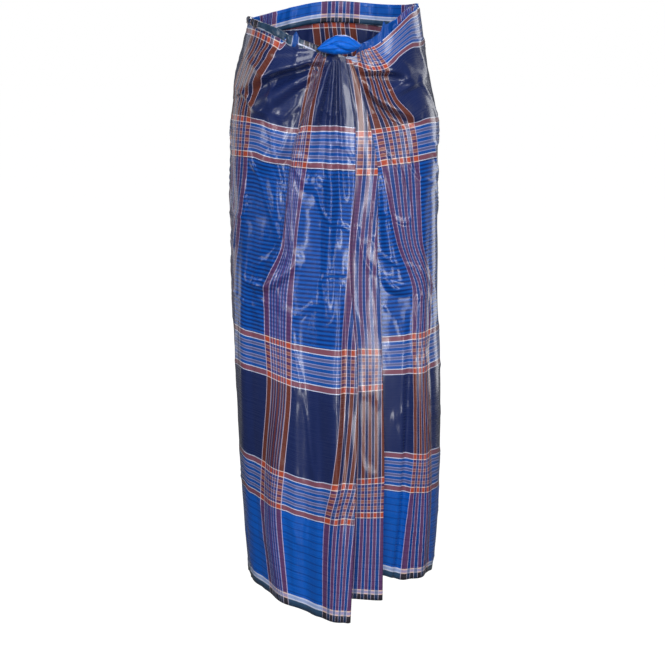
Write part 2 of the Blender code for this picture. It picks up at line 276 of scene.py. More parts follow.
HIDDEN_X = mm(3, 4, 4, 0, -3, -6, -8, -8, 0, 8, 12, 13)  # where both hidden edges lie
STATIONS = {
    "left_end": dict(
        angle=-0.12,
        z=mm(-937, -772, -697, -551, -476, -407, -320, -187, -113, -36, 22, 44),
        top=1.016,
    ),
    "left_round": dict(
        between=("left_end", "left_crease"),
        z=mm(-934, -769, -693, -547, -474, -405, -318, -186, -115, -38, 17, 38),
        top=1.015,
    ),
    "left_crease": dict(
        x=mm(-141.7, -151.1, -155.2, -156.7, -156.1, -155.5, -147.9, -140, -134.4, -113.6, -86.4, -81.4),
        z=mm(-934, -764, -693, -546, -475, -406, -320, -186, -119, -60, -8, 16),
        u=mm(123, 127, 119, 112, 110, 96, 84, 72, 72, 72, 72, 72),
        top=1.014,
    ),
    "left_gather": dict(
        between=("left_crease", "fine_left"),
        share=0.28,
        z=mm(-938, -768, -697, -549, -478, -409, -322, -189, -123.5, -62.5, 6.5, 8),
        top=0.9925,
    ),
    "fine_left": dict(
        x=mm(-108.9, -125.4, -122, -111.5, -115.2, -116.5, -80.3, -70.5, -57.1, -43.6, -22.2, -17.2),
        z=mm(-949, -778, -706, -556, -484, -415, -327, -198, -135, -68, -11, -9.5),
        u=mm(154) * 12,
        top=0.9925,
    ),
    "fine_right": dict(
        x=mm(-75, -87, -82.3, -69.6, -69.3, -66.5, -59, -40.5, -30, -17.5, -7.4, -5.7),
        z=mm(-962, -790, -722, -572, -496, -423, -330, -201, -130, -65, -12, -10.5),
        u=mm(198) * 12,
        top=0.9925,
    ),
    "left_front": dict(
        x=mm(-28.5, -35.2, -29.9, -21.2, -21.1, -19.3, -17.5, -10.8, -4.1, 4.1, 7.4, 7.4),
        z=mm(-975, -805, -736, -581, -504, -427, -334, -203, -130, -67, -14.5, -13),
        top=0.9925,
    ),
    "outer_edge": dict(
        x=mm(31.8, 38.4, 40.9, 43.2, 41.5, 33.5, 31, 38.1, 37.9, 28.7, 20.5, 18.9),
        z=mm(-983, -811, -738, -584, -507, -430, -337, -206, -134, -72, -20, -18),
        u=mm(345, 338, 323, 312, 308, 293, 284, 280, 278, 274, 270, 270),
        top=0.9925,
    ),
    "outer_return": dict(
        x=mm(-90, -90, -88, -85, -85, -85, -83, -80, -70, -58, -50, -50),
        z=mm(-962, -804, -731, -576, -499, -426, -338, -204, -134, -74, -24, -22),
        top=0.994,
    ),
    "middle_shows": dict(
        x=mm(33.8, 40.3, 41.9, 43.3, 42, 34.5, 32, 39, 39.7, 30.5, 22.2, 20.5),
        z=mm(-949, -803, -733, -582, -506, -433, -346, -214, -140, -76, -31, -22),
        u=mm(10, 10, 10, 10, 10, 8, 5, 0, -3, -5, -6, -6),
        top=1.0,
    ),
    "middle_edge": dict(
        x=mm(87.7, 87.8, 89.1, 85.8, 83.7, 81.6, 75.3, 75.6, 64.5, 48.6, 33.7, 30.4),
        z=mm(-953, -803, -730, -579, -507, -433, -345, -214, -140, -76, -31, -24),
        u=mm(64, 62, 62, 60, 57, 58, 50, 38, 24, 12, 6, 6),
        top=1.0,
    ),
    "middle_return": dict(
        x=HIDDEN_X,
        z=mm(-950, -803, -731, -580, -505, -433, -345, -213, -139, -76, -31, -24),
        top=1.0,
    ),
    "right_start": dict(
        x=HIDDEN_X,
        z=mm(-918, -757, -689, -555, -487, -417, -329, -202, -136, -78, -30, -19),
        top=1.01,
    ),
    "right_shows": dict(
        x=mm(87.5, 90.6, 90.9, 89.4, 86.5, 83.5, 77.2, 77.5, 66.4, 50.4, 37.1, 35.4),
        z=mm(-916, -758, -689, -555, -487, -416, -330, -201, -137, -80, -34, -18),
        u=mm(251, 238, 232, 232, 232, 234, 252, 280, 281, 282, 281, 280),
        top=1.02,
    ),
    "wide_left": dict(
        x=mm(120.4, 135.2, 140.1, 138.4, 135.5, 135.2, 106.6, 81.5, 69.5, 53.6, 41.5, 39.5),
        z=mm(-929, -767, -696, -555, -484, -413, -326, -200, -137, -80, -34, -14),
        u=mm(282) * 12,
        top=1.03,
    ),
    "wide_right": dict(
        x=mm(170, 171.6, 171, 165, 166.3, 170, 150, 144.1, 136.3, 101, 88.1, 68.2),
        z=mm(-926, -769, -694, -550, -479, -409, -325, -193, -127, -80, -34, -2),
        u=mm(352) * 12,
        top=1.067,
    ),
    "right_round": dict(
        x=mm(177.5, 186, 188, 184, 180, 180, 176, 174, 164, 147.6, 137.1, 132),
        z=mm(-930, -770, -697, -548, -478, -408, -322, -189, -120, -56, -4, 55),
        top=1.07,
    ),
    "right_end": dict(
        angle=math.pi + 0.12,
        u=mm(430) * 12,
        z=mm(-934, -771, -697, -545, -477, -408, -321, -190, -119, -44, 10, 68),
        top=1.05,
    ),
}


# %% Down a station
def station_angle(name, v, z):
    """Angle of a station at weft line v."""
    entry = STATIONS[name]
    if "angle" in entry:
        return np.full(len(v), entry["angle"])
    if "between" in entry:
        first, second = (station_angle(other, v, z) for other in entry["between"])
        return first + entry.get("share", 0.5) * (second - first)
    return front_angle(smooth(v, LINES + (entry["top"],), entry["x"]), z)


def station_line(name, t):
    """Weft line, height, angle and warp thread down one station; t runs hem to top."""
    entry = STATIONS[name]
    knots = LINES + (entry["top"],)
    v = t * entry["top"]
    z = smooth(v, knots, entry["z"])
    u = smooth(v, knots, entry["u"]) if "u" in entry else None
    return v, z, station_angle(name, v, z), u


print(len(STATIONS), "stations of", len(LINES) + 1, "weft lines")

# %% [markdown]
# ## Folds
#
# Two kinds of fold stand on the sheets. A ridge is a soft swelling along a
# line. A lip is a real overlap: the cloth on its raised side rolls over and
# hangs past the line, so the side below it falls in shadow. Each is a path of
# points with its own size at every point, so no two are alike.

# %% Paths
def running(steps):
    """Running sum along each row, from 0."""
    return np.concatenate([np.zeros(steps.shape[:-1] + (1,)), np.cumsum(steps, axis=-1)], axis=-1)


def arc_length(x, y):
    """Distance along each row of points."""
    return running(np.hypot(np.diff(x), np.diff(y)))


def along_path(rows, steps=26):
    """The path's rows, given in mm, resampled smoothly along its length."""
    rows = np.asarray(rows, float) / 1000
    length = arc_length(rows[:, 0], rows[:, 1])
    at = np.linspace(0, length[-1], steps)
    return np.stack([smooth(at, length, column) for column in rows.T], axis=1)


def measure_path(x, z, rows):
    """Signed distance from a path, and the path's sizes at the nearest point."""
    best = np.full(x.shape, 9.0)
    side = np.zeros(x.shape)
    normal = np.zeros(x.shape + (2,))
    sizes = np.zeros(x.shape + (rows.shape[1] - 2,))
    for a, b in zip(rows, rows[1:]):
        way = b[:2] - a[:2]
        length = np.hypot(*way)
        px, pz = x - a[0], z - a[1]
        share = np.clip((px * way[0] + pz * way[1]) / length**2, 0, 1)
        away = np.hypot(px - share * way[0], pz - share * way[1])
        near = away < best
        best = np.where(near, away, best)
        side = np.where(near, np.sign(way[0] * pz - way[1] * px), side)
        for k in (0, 1):
            normal[..., k] = np.where(near, (-way[1], way[0])[k] / length, normal[..., k])
        for k in range(sizes.shape[-1]):
            sizes[..., k] = np.where(near, a[2 + k] + share * (b[2 + k] - a[2 + k]), sizes[..., k])
    return best * side, normal, sizes


print("a path is walked in", len(along_path(((0, 0), (10, 0)))) - 1, "steps")

# %% Ridges
RIDGES = {  # x, z, height and reach at each point, in mm
    "fan 1": (
        (-2, -28, 3, 4), (-14, -73, 11, 7), (-26, -122, 11, 10), (-34, -171, 8, 13), (-44, -254, 1, 18),
    ),
    "fan 2": (
        (4, -28, 3, 3), (0, -81, 10, 6), (-3, -138, 10, 9), (-1, -204, 7, 13), (-2, -330, 1, 22),
    ),
    "fan 3": (
        (11, -24, 3, 3), (13, -89, 8, 5), (17, -171, 7, 7), (20, -254, 1, 12),
    ),
    "swag under": (
        (-30, -46, 3, 8), (-60, -62, 11, 14), (-92, -84, 12, 17), (-128, -112, 4, 18),
    ),
    "swag over": (
        (-35, -10, 1, 6), (-70, -12, 4, 8), (-110, -12, 4, 10), (-140, -30, 1, 10),
    ),
    "right thigh": (
        (79, -196, 1, 10), (92, -304, 7, 16), (112, -396, 1, 20),
    ),
    "left crumple": (
        (-150, -392, 1, 10), (-120, -402, 7, 12), (-88, -385, 7, 12), (-58, -355, 1, 14),
    ),
    "right crumple": (
        (85, -385, 1, 10), (105, -405, 7, 12), (130, -412, 1, 12),
    ),
    "left fall": (
        (-146, -300, 1, 12), (-150, -500, 6, 14), (-148, -700, 6, 14), (-134, -950, 5, 14),
    ),
    "brown fall": (
        (-102, -450, 1, 18), (-96, -600, 5, 20), (-100, -800, 8, 22), (-86, -980, 9, 22),
    ),
    "front fall": (
        (-10, -400, 1, 20), (-4, -600, 6, 22), (6, -750, 7, 22), (6, -1000, 8, 24),
    ),
    "front dip": (
        (-45, -450, -1, 20), (-44, -700, -6, 22), (-48, -1000, -9, 26),
    ),
    "front shine": (
        (-1, -165, 1, 10), (0, -220, 7, 13), (-4, -300, 7, 14), (-8, -380, 4, 13), (-8, -450, 1, 12),
    ),
    "belly": (
        (-12, -45, 1, 18), (-18, -75, 8, 26), (-22, -105, 15, 32), (-24, -150, 13, 38), (-22, -210, 7, 40),
        (-20, -290, 1, 40),
    ),
    "left hip": (
        (-138, -205, 1, 20), (-108, -186, 6, 26), (-80, -162, 6, 26), (-56, -142, 1, 20),
    ),
    "left thigh": (
        (-95, -215, 1, 18), (-88, -290, 6, 20), (-98, -370, 1, 20),
    ),
    "right fall": (
        (148, -200, 1, 16), (152, -500, 6, 16), (160, -750, 7, 16), (150, -950, 8, 16),
    ),
    "right dip": (
        (132, -450, -1, 10), (131, -620, -8, 11), (126, -780, -10, 12), (112, -950, -9, 13),
    ),
}

# %% Lips
LIPS = {  # the raised side, then x, z, rise, overhang and reach of the raised side, in mm
    "left swag": (-1, (
        (-4, -27, 2, 1, 8), (-31, -27, 12, 3, 14), (-58, -35, 19, 5, 17), (-88, -44, 21, 6, 20),
        (-117, -58, 15, 4, 22), (-150, -78, 3, 0, 20),
    )),
    "right swag": (1, (
        (32, -40, 2, 1, 8), (46, -44, 9, 2, 13), (68, -43, 14, 3, 16), (92, -43, 14, 3, 18),
        (111, -48, 9, 2, 18), (138, -62, 1, 0, 16),
    )),
    "right swag lower": (1, (
        (40, -52, 3, 1, 8), (50, -66, 10, 2, 12), (64, -81, 15, 4, 15), (79.5, -94.5, 20, 4, 18),
        (105.2, -108.5, 18, 4, 18), (126.8, -117.5, 9, 2, 16), (150, -124, 1, 0, 14),
    )),
    "right tuck": (1, (
        (94, -84, 1, 0, 10), (108, -77, 4, 1, 14), (124, -70, 5, 2, 16), (146, -60, 1, 0, 12),
    )),
    "long pleat": (1, (
        (-2, -22, 2, 1, 8), (-16.2, -50.5, 10, 3, 12), (-30.8, -88.7, 15, 4, 15), (-51.5, -136, 18, 5, 18),
        (-60, -164.4, 18, 5, 20), (-65.5, -187.9, 16, 5, 22), (-71.5, -254, 13, 4, 24),
        (-82, -325, 9, 3, 24), (-106, -371, 4, 2, 22), (-112, -430, 1, 0, 18),
    )),
    "front groove": (-1, (
        (15, -400, 1, 0, 12), (14, -480, 9, 2, 15), (12.5, -620, 10, 2, 17), (10, -760, 6, 1, 17),
        (8, -900, 1, 0, 14),
    )),
}
LIP_FOOT = 0.010
print(len(RIDGES), "ridges and", len(LIPS), "lips")


# %% What the folds move
def close_to(path, x, z, spread):
    """Mask of the points that a path can reach."""
    (low_x, low_z), (high_x, high_z) = path[:, :2].min(axis=0) - spread, path[:, :2].max(axis=0) + spread
    return (x > low_x) & (x < high_x) & (z > low_z) & (z < high_z)


def fold_moves(x, z):
    """Lift off the surface, and slide across it, that all front folds give."""
    lift, slide_x, slide_z = np.zeros(x.shape), np.zeros(x.shape), np.zeros(x.shape)
    for rows in RIDGES.values():
        path = along_path(rows)
        near = close_to(path, x, z, 1.1 * path[:, 3].max())
        away, _, size = measure_path(x[near], z[near], path)
        lift[near] += size[:, 0] * np.clip(1 - (away / size[:, 1]) ** 2, 0, 1) ** 2
    for raised, rows in LIPS.values():
        path = along_path(rows)
        near = close_to(path, x, z, 2.4 * path[:, 4].max())
        away, normal, size = measure_path(x[near], z[near], path)
        rise, over, reach = size.T
        away = away * raised - over
        low = np.clip(1 + away / LIP_FOOT, 0, 1)
        hollow = 0.22 * np.exp(-(((away + 0.014) / 0.009) ** 2))
        lift[near] += rise * (np.where(away > 0, np.exp(-((away / reach) ** 2)), low) - hollow)
        slide = -over * np.where(away > 0, np.exp(-((away / (0.8 * reach)) ** 2)), low)
        slide_x[near] += slide * normal[:, 0] * raised
        slide_z[near] += slide * normal[:, 1] * raised
    return lift, slide_x, slide_z


swell, _, _ = fold_moves(np.array([-0.088]), np.array([-0.040]))
print("the left swag stands", round(float(swell[0]) * 1000, 1), "mm proud")

# %% [markdown]
# Glazed cotton is stiff, so between the folds it keeps small dents and sharp
# creases. A seeded noise gives them. It is made here in a few lines, because
# the same numbers must come out on every run.

# %% Crumples
def ripple(x, y, seed):
    """Smooth noise from -1 to 1."""
    table = np.random.default_rng(seed).uniform(-1, 1, (61, 61))
    xi, yi = np.floor(x).astype(int), np.floor(y).astype(int)
    a, b = ease(x - xi), ease(y - yi)
    x0, x1, y0, y1 = xi % 61, (xi + 1) % 61, yi % 61, (yi + 1) % 61
    low = table[x0, y0] * (1 - a) + table[x1, y0] * a
    high = table[x0, y1] * (1 - a) + table[x1, y1] * a
    return low * (1 - b) + high * b


def crumple(u, v, seed):
    """Soft dents with a few sharp creases, in metres, over the cloth's own threads."""
    bend = 0.012 * ripple(u / 0.09, v / 0.09, seed + 7)
    soft = ripple((u + bend) / 0.034, v / 0.085, seed) + 0.3 * ripple(u / 0.019, v / 0.040, seed + 1)
    crease = 1 - np.abs(ripple((u + bend) / 0.040 + 0.4 * v / 0.05, v / 0.070, seed + 2))
    fine = ripple(u / 0.008, v / 0.016, seed + 3)
    hips = 1 + 0.9 * np.exp(-(((v - 0.78) / 0.17) ** 2))
    return hips * (0.0010 * soft + 0.0015 * np.maximum(crease - 0.82, 0) / 0.18) + 0.00014 * fine


swatch = crumple(*np.meshgrid(np.linspace(0, 1, 99), np.linspace(0, 1, 99)), 3)
print("crumples up to", round(float(np.ptp(swatch)) * 1000, 1), "mm")

# %% [markdown]
# ## Building a sheet
#
# A sheet is a grid. Every row is one weft line, and its columns run smoothly
# through the stations. The cloth map keeps each point's place on the loom in
# metres: across is the warp thread, up is the weft line.

# %% Rows and columns
def row_spread(rows):
    """Steps from hem to top, closest together where the knot gathers the cloth."""
    return np.interp(np.linspace(0, 1, rows), (0, 0.22, 0.54, 1), (0, 0.50, 0.78, 1))


def surface(angle, z):
    """Points of the ring, with the direction along it there."""
    x, y = ring(angle, z)
    ahead_x, ahead_y = ring(angle + 0.002, z)
    tx, ty = ahead_x - x, ahead_y - y
    length = np.hypot(tx, ty)
    return x, y, tx / length, ty / length


def put(angle, z, off, slide_x=0.0, slide_z=0.0):
    """World points off the ring, then slid across the surface."""
    x, y, tx, ty = surface(angle, z)
    across = slide_x / np.maximum(np.abs(tx), 0.5)
    return np.stack([x + ty * off + tx * across, y - tx * off + ty * across, z + slide_z], axis=-1)


def carry(names, t, counts):
    """Angle, height, weft and warp of a grid whose columns run through stations."""
    lines = [station_line(name, t) for name in names]
    middle = len(t) // 2
    spots = [ring(line[2][middle], line[1][middle]) for line in lines]
    knots = running(np.array([math.dist(a, b) + 0.004 for a, b in zip(spots, spots[1:])]))
    columns = np.concatenate(
        [np.linspace(knots[k], knots[k + 1], n, endpoint=False) for k, n in enumerate(counts)]
        + [[knots[-1]]]
    )
    grid = [np.empty((len(t), len(columns))) for _ in range(3)]
    for r in range(len(t)):
        for out_grid, which in zip(grid, (2, 1, 0)):
            out_grid[r] = smooth(columns, knots, [line[which][r] for line in lines])
    angle, z, v = grid
    arc = arc_length(*ring(angle, z))
    starts = np.concatenate([[0], np.cumsum(counts)])
    held = [(starts[k], line[3]) for k, line in enumerate(lines) if line[3] is not None]
    u = np.empty_like(arc)
    for r in range(len(t)):
        at = [arc[r, c] for c, _ in held]
        threads = [line[r] for _, line in held]
        u[r] = np.interp(arc[r], at, threads)
        u[r] += np.minimum(arc[r] - at[0], 0) + np.maximum(arc[r] - at[-1], 0)
    return angle, z, v, u, columns, knots


print("rows at", row_spread(5).round(2), "of the way up")

# %% Mesh from a grid
SHELL = 0.0007  # cloth thickness of the visual sheets
print("panels are", SHELL * 1000, "mm thick")


def sheet_mesh(name, points, u, v, shell=SHELL):
    """A smooth mesh with its cloth map and a thin wall."""
    rows, cols = points.shape[:2]
    index = np.arange(rows * cols).reshape(rows, cols)
    quads = np.stack(
        [index[:-1, :-1], index[:-1, 1:], index[1:, 1:], index[1:, :-1]], axis=-1
    ).reshape(-1, 4)
    mesh = bpy.data.meshes.new(name)
    mesh.from_pydata(points.reshape(-1, 3).tolist(), [], quads.tolist())
    mesh.update()
    mesh.shade_smooth()
    layer_uv = mesh.uv_layers.new(name="cloth")
    place = np.stack([u.ravel(), v.ravel()], axis=-1)[quads.ravel()]
    layer_uv.data.foreach_set("uv", place.ravel().astype(np.float32))
    ob = bpy.data.objects.new(name, mesh)
    scene.collection.objects.link(ob)
    wall = ob.modifiers.new("cloth wall", "SOLIDIFY")
    wall.thickness = shell
    wall.offset = 0
    area = np.linalg.norm(
        np.cross(points[1:, 1:] - points[:-1, :-1], points[:-1, 1:] - points[1:, :-1]), axis=-1
    ).sum() / 2
    print(name, rows, "x", cols, "points,", round(float(area), 3), "m2 of cloth")
    return ob


# %% [markdown]
# ## The front panels
#
# A deep pleat is cloth that turns under at its edge and runs back behind
# itself. The turn is half a small circle, not a crease, because cotton springs
# open a little.

# %% A pleat's turn
TURN_COLUMNS = 8
print("a fold's turn takes", TURN_COLUMNS, "columns")


def short_of_fold(angle, z, columns, start, edge, fold):
    """Angles eased back after a column, so that the turn itself reaches the fold edge."""
    angle_edge, z_edge = angle[:, -1], z[:, -1]
    radius = (layer(edge, z_edge) - layer(fold + "_in", z_edge)) / 2
    back = front_angle(ring(angle_edge, z_edge)[0] - radius, z_edge) - angle_edge
    return angle + back[:, None] * ease((columns - start) / (columns[-1] - start))


def hairpin(angle, z, u, off_out, off_in):
    """Columns that take a sheet round its fold edge to the layer beneath."""
    radius = (off_out - off_in) / 2
    spots = np.linspace(0, math.pi, TURN_COLUMNS + 1)[1:]
    x, y, tx, ty = surface(angle, z)
    points = []
    for bend in spots:
        off = off_in + radius + radius * np.cos(bend)
        along = radius * np.sin(bend)
        points.append(np.stack([x + ty * off + tx * along, y - tx * off + ty * along, z], axis=-1))
    return np.stack(points, axis=1), np.stack([u + radius * bend for bend in spots], axis=1)


# %% A pleat's return
def return_layer(name, t, grid_edge, off_in, columns):
    """The cloth that runs back under a fold to a hidden station."""
    v_end, z_end, angle_end, _ = station_line(name, t)
    share = np.linspace(0, 1, columns + 1)[1:]
    angle, z, v, off = (
        first[:, None] + (last - first)[:, None] * step[None, :]
        for first, last, step in zip(
            (*grid_edge[:3], off_in),
            (angle_end, z_end, v_end, layer(name, grid_edge[1])),
            (share, ease(share), ease(share), share),
        )
    )
    points = put(angle, z, off)
    steps = np.linalg.norm(np.diff(points, axis=1), axis=-1)
    return points, grid_edge[3][:, None] + running(steps) + 0.002, v


def pleated_sheet(name, grid, points, t, fold, off_out, columns):
    """Mesh of a sheet with the turn at its last column and the return under it."""
    angle, z, v, u = grid
    edge = [part[:, -1] for part in grid]
    off_in = layer(fold + "_in", edge[1])
    turned, turned_u = hairpin(edge[0], edge[1], edge[3], off_out, off_in)
    turned_v = np.stack([edge[2]] * turned_u.shape[1], axis=1)
    edge[3] = turned_u[:, -1]
    under, under_u, under_v = return_layer(fold, t, edge, off_in, columns)
    return sheet_mesh(
        name,
        np.concatenate([points, turned, under], axis=1),
        np.concatenate([u, turned_u, under_u], axis=1),
        np.concatenate([v, turned_v, under_v], axis=1),
    )


# %% Where a line shows
def as_seen(angle, z, off):
    """Angles moved so that points still stand at their x once off the ring."""
    wanted = ring(angle, z)[0]
    for _ in range(3):
        x = put(angle, z, off)[..., 0]
        angle = front_angle(ring(angle, z)[0] + (wanted - x), z)
    return angle


print("1.2 radians becomes", round(float(as_seen(1.2, -0.5, 0.04)), 3), "for a point 40 mm off the ring")

# %% Left panel
def across(x, knots, values):
    """A quantity that runs smoothly over four uprights whose places change with height."""
    total = values[0] * np.ones_like(x)
    for k in range(len(knots) - 1):
        share = ease((x - knots[k]) / (knots[k + 1] - knots[k]))
        straight = np.clip((x - knots[k]) / (knots[k + 1] - knots[k]), 0, 1)
        total = total + (values[k + 1] - values[k]) * (0.4 * share + 0.6 * straight)
    return total


t = row_spread(250)
WAIST_LEFT = ("left_end", "left_round", "left_crease", "left_gather", "fine_left", "fine_right")
names = (*WAIST_LEFT, "left_front", "outer_edge")
angle, z, v, u, columns, knots = carry(names, t, (12, 14, 12, 18, 30, 34, 32))
x = ring(angle, z)[0]
edge_x = x[:, -1:]
off = across(
    x,
    (-0.146, -0.105, -0.055, edge_x),
    (0 * z, layer("left_side", z), layer("left_mid", z), layer("outer_edge", z)),
)
angle = np.where(x > -0.140, as_seen(np.clip(angle, 0.05, 3.0), z, off), angle)
share = ease((columns - knots[0]) / 0.03) * np.ones_like(z)
near_edge = ease((edge_x - x) / 0.014)
lift, slide_x, slide_z = fold_moves(x, z)
lift = lift * (0.25 + 0.75 * near_edge)
by_knot = np.exp(-((x - 0.008) ** 2 + (z + 0.045) ** 2) / 0.055**2)
wrinkle = crumple(u, v, 11) * (1 - 0.8 * by_knot)
angle = short_of_fold(angle, z, columns, knots[names.index("fine_right")], "outer_edge", "outer_return")
raised = share * (lift + wrinkle * (0.3 + 0.7 * near_edge))
points = put(angle, z, off + raised, share * near_edge * slide_x, share * near_edge * slide_z)
edge_off = off[:, -1] + 0.3 * wrinkle[:, -1] + 0.25 * lift[:, -1]
left_panel = pleated_sheet("left_panel_cloth", (angle, z, v, u), points, t, "outer_return", edge_off, 22)
LEFT_END_U = (v[:, 0], u[:, 0])

# %% Middle pleat
t = row_spread(240)
names = ("outer_return", "middle_shows", "middle_edge")
angle, z, v, u, columns, knots = carry(names, t, (16, 34))
shows_at = knots[1]
angle = short_of_fold(angle, z, columns, shows_at, "middle_edge", "middle_return")
rise = ease((columns - knots[0]) / (knots[-1] - knots[0]))
off = layer("middle_start", z) + rise * (layer("middle_edge", z) - layer("middle_start", z))
angle = as_seen(angle, z, off)
seen_share = (ease((columns - shows_at) / 0.012) * ease((knots[-1] - columns) / 0.008)) * np.ones_like(z)
points = put(angle, z, off + seen_share * 0.7 * crumple(u, v, 23))
edge_off = layer("middle_edge", z[:, -1])
middle_pleat = pleated_sheet("middle_pleat_cloth", (angle, z, v, u), points, t, "middle_return", edge_off, 14)

# %% Right panel
t = row_spread(290)
names = ("right_start", "right_shows", "wide_left", "wide_right", "right_round", "right_end")
UNDERLAP = 10  # columns hidden under the pleat
angle, z, v, u, columns, knots = carry(names, t, (UNDERLAP, 22, 40, 22, 16))
x = ring(angle, z)[0]
edge_x = x[:, UNDERLAP, None]
share = ease((knots[-1] - columns) / 0.03) * ease((x - edge_x + 0.004) / 0.016)
lift, slide_x, slide_z = fold_moves(x, z)
points = put(angle, z, share * (lift + crumple(u, v, 37)), share * slide_x, share * slide_z)
right_panel = sheet_mesh("right_panel_cloth", points, u, v)
RIGHT_END_U = (v[:, -1], u[:, -1])

# %% [markdown]
# ## The back
#
# Behind, the cloth hangs from the waist in long soft folds that open towards
# the hem, uneven in depth and spacing, with a few gathers under the waist.

# %% Back folds
BACK_FOLDS = (  # angle, height, reach in radians, z of its top, drift of the angle towards the hem
    (3.62, 0.005, 0.1, -0.06, 0.04), (3.95, 0.007, 0.15, -0.12, -0.05), (4.28, -0.004, 0.11, -0.1, 0.06),
    (4.55, 0.009, 0.18, -0.18, 0.02), (4.92, 0.005, 0.12, -0.05, -0.06), (5.25, 0.007, 0.15, -0.14, 0.05),
    (5.55, -0.003, 0.09, -0.2, 0), (5.8, 0.007, 0.14, -0.16, -0.03),
)
BACK_GATHERS = (  # angle, height, reach in radians
    (3.8, 0.003, 0.05), (4.1, 0.0035, 0.06), (4.42, 0.003, 0.045), (4.78, 0.004, 0.07), (5.1, 0.003, 0.05),
    (5.42, 0.0035, 0.06), (5.7, 0.0025, 0.05),
)
BACK_Z = mm(-930, -768, -693, -548, -472, -402, -314, -180, -106, -28, 30, 74)
BACK_TOP = 1.036  # weft line of the top edge, in the middle of the back
BACK_FIRST, BACK_LAST = math.pi + 0.12, 2 * math.pi - 0.12
REPEAT = 0.282  # one repeat of the warp pattern, round the tube
print(len(BACK_FOLDS), "back folds and", len(BACK_GATHERS), "gathers")


# %% Back panel
def to_middle(share, first, middle, last):
    """From the first side's value by the middle's to the last side's, smoothly."""
    side = 0.5 - 0.5 * np.cos(2 * math.pi * share)
    return (first + (last - first) * share) * (1 - side) + side * middle


t = row_spread(230)
share = np.linspace(0, 1, 150)
angle = np.ones((len(t), 1)) * (BACK_FIRST + share * (BACK_LAST - BACK_FIRST))[None, :]
v_right, z_right, _, _ = station_line("right_end", t)
v_left, z_left, _, _ = station_line("left_end", t)
v_mid = t * BACK_TOP
z_mid = smooth(v_mid, LINES + (BACK_TOP,), BACK_Z)
z = to_middle(share, z_right[:, None], z_mid[:, None], z_left[:, None])
v = to_middle(share, v_right[:, None], v_mid[:, None], v_left[:, None])
u_right = np.interp(v_right, *RIGHT_END_U)
u_left = np.interp(v_left, *LEFT_END_U) + 3 * REPEAT
arc = arc_length(*ring(angle, z))
u = u_right[:, None] + (u_left - u_right)[:, None] * arc / arc[:, -1:]
print("back: threads", round(float(u_right.mean()), 3), "to", round(float(u_left.mean()), 3), "m round")
lift = np.zeros_like(z)
for middle, height, reach, top, drift in BACK_FOLDS:
    at = middle + drift * np.clip((top - z) / 0.9, 0, 1)
    lift += height * np.exp(-(((angle - at) / reach) ** 2)) * np.clip((top - z) / 0.5, 0, 1) ** 0.8
for middle, height, reach in BACK_GATHERS:
    lift += height * np.exp(-(((angle - middle) / reach) ** 2)) * np.exp(-(((z - 0.01) / 0.09) ** 2))
held = ease(np.minimum(share, 1 - share) / 0.06)
points = put(angle, z, held * (lift + crumple(u, v, 51)))
back_panel = sheet_mesh("back_panel_cloth", points, u, v)

# %% [markdown]
# ## The turned-in top edge
#
# Before the knot is made, the top of the tube is rolled down inside the waist.
# The roll shows as a thin crumpled strip along the edge, with the white line
# and the dark selvedge of the weave, and here and there a corner stands up.

# %% Rolled strips
def edge_line(names, t_cols):
    """Angle and height of the waist edge through stations."""
    tops = [station_line(name, np.array([1.0])) for name in names]
    at = np.linspace(0, 1, len(names))
    return smooth(t_cols, at, [a[2][0] for a in tops]), smooth(t_cols, at, [a[1][0] for a in tops])


def level(x):
    """Nothing added along the edge."""
    return 0 * x


def roll_profile(profile, rows):
    """Steps along a roll's profile, with how far out, how high and which weft line."""
    path = np.asarray(profile, float) / 1000
    steps = np.linspace(0, len(path) - 1, rows)
    return steps, *(smooth(steps, np.arange(len(path)), column)[:, None] for column in path.T)


def rolled_strip(name, names, cols, profile, u_start, stand, seed, off=level, droop=level):
    """A strip rolled over the waist edge, or standing inside it."""
    t_cols = np.linspace(0, 1, cols)
    angle, z = edge_line(names, t_cols)
    steps, out_in, up, weft = roll_profile(profile, 22)
    x, y = ring(angle, z)
    arc = arc_length(x, y)
    u = np.ones((len(steps), 1)) * (u_start + arc)
    taper = (0.25 + 0.75 * ease(t_cols / 0.08)) * (0.25 + 0.75 * ease((1 - t_cols) / 0.08))
    wave = 0.0022 * ripple(arc / 0.014, 0 * arc, seed) + 0.0012 * ripple(arc / 0.005, 0 * arc, seed + 1)
    tall = up * taper * (1 + 0.35 * ripple(arc / 0.020, 0 * arc + 3.3, seed))
    z_grid = z + np.where(up > 0, tall + stand(x) * np.clip(up / up.max(), 0, 1), up)
    z_grid = z_grid - droop(x) * ease((steps[:, None] - 4.0) / 3.0)
    dent = 0.0014 * ripple(u / 0.006, (weft + 0 * u) / 0.004, seed + 2)
    depth = off(x) + out_in * np.where(out_in > 0, taper, 1) + wave + dent
    points = put(np.ones((len(steps), 1)) * angle, z_grid, depth)
    wander = 0.006 * ripple(arc / 0.016, 0 * arc + 1.7, seed + 3)
    weft = np.maximum(weft + wander - 7 * stand(x), 1.12)
    return sheet_mesh(name, points, u, weft * np.ones_like(u), 0.0006)


# %% How the roll lies along the edge
def left_off(x):
    """How far the outer layers hold the roll off the ring."""
    return np.interp(x, (-0.146, -0.105, -0.055, 0.02), (0.0, 0.0080, 0.0100, 0.0110))


def left_stand(x):
    """The bright corner that stands up beside the knot."""
    return 0.010 * np.exp(-(((x + 0.058) / 0.0035) ** 2))


def left_droop(x):
    """How much further the roll hangs down over the edge, most beside the knot."""
    return np.interp(x, (-0.15, -0.085, -0.060, -0.030, 0.0), (0.0, 0.001, 0.007, 0.010, 0.006))


def right_stand(x):
    """How far the blue strip stands above the panel, with its small peak."""
    places = mm(30, 55, 80, 84, 88, 105, 125)
    return np.interp(x, places, mm(4, 8, 9, 22, 12, 4, 0))


print("the right strip peaks at", round(float(right_stand(0.084)) * 1000), "mm")

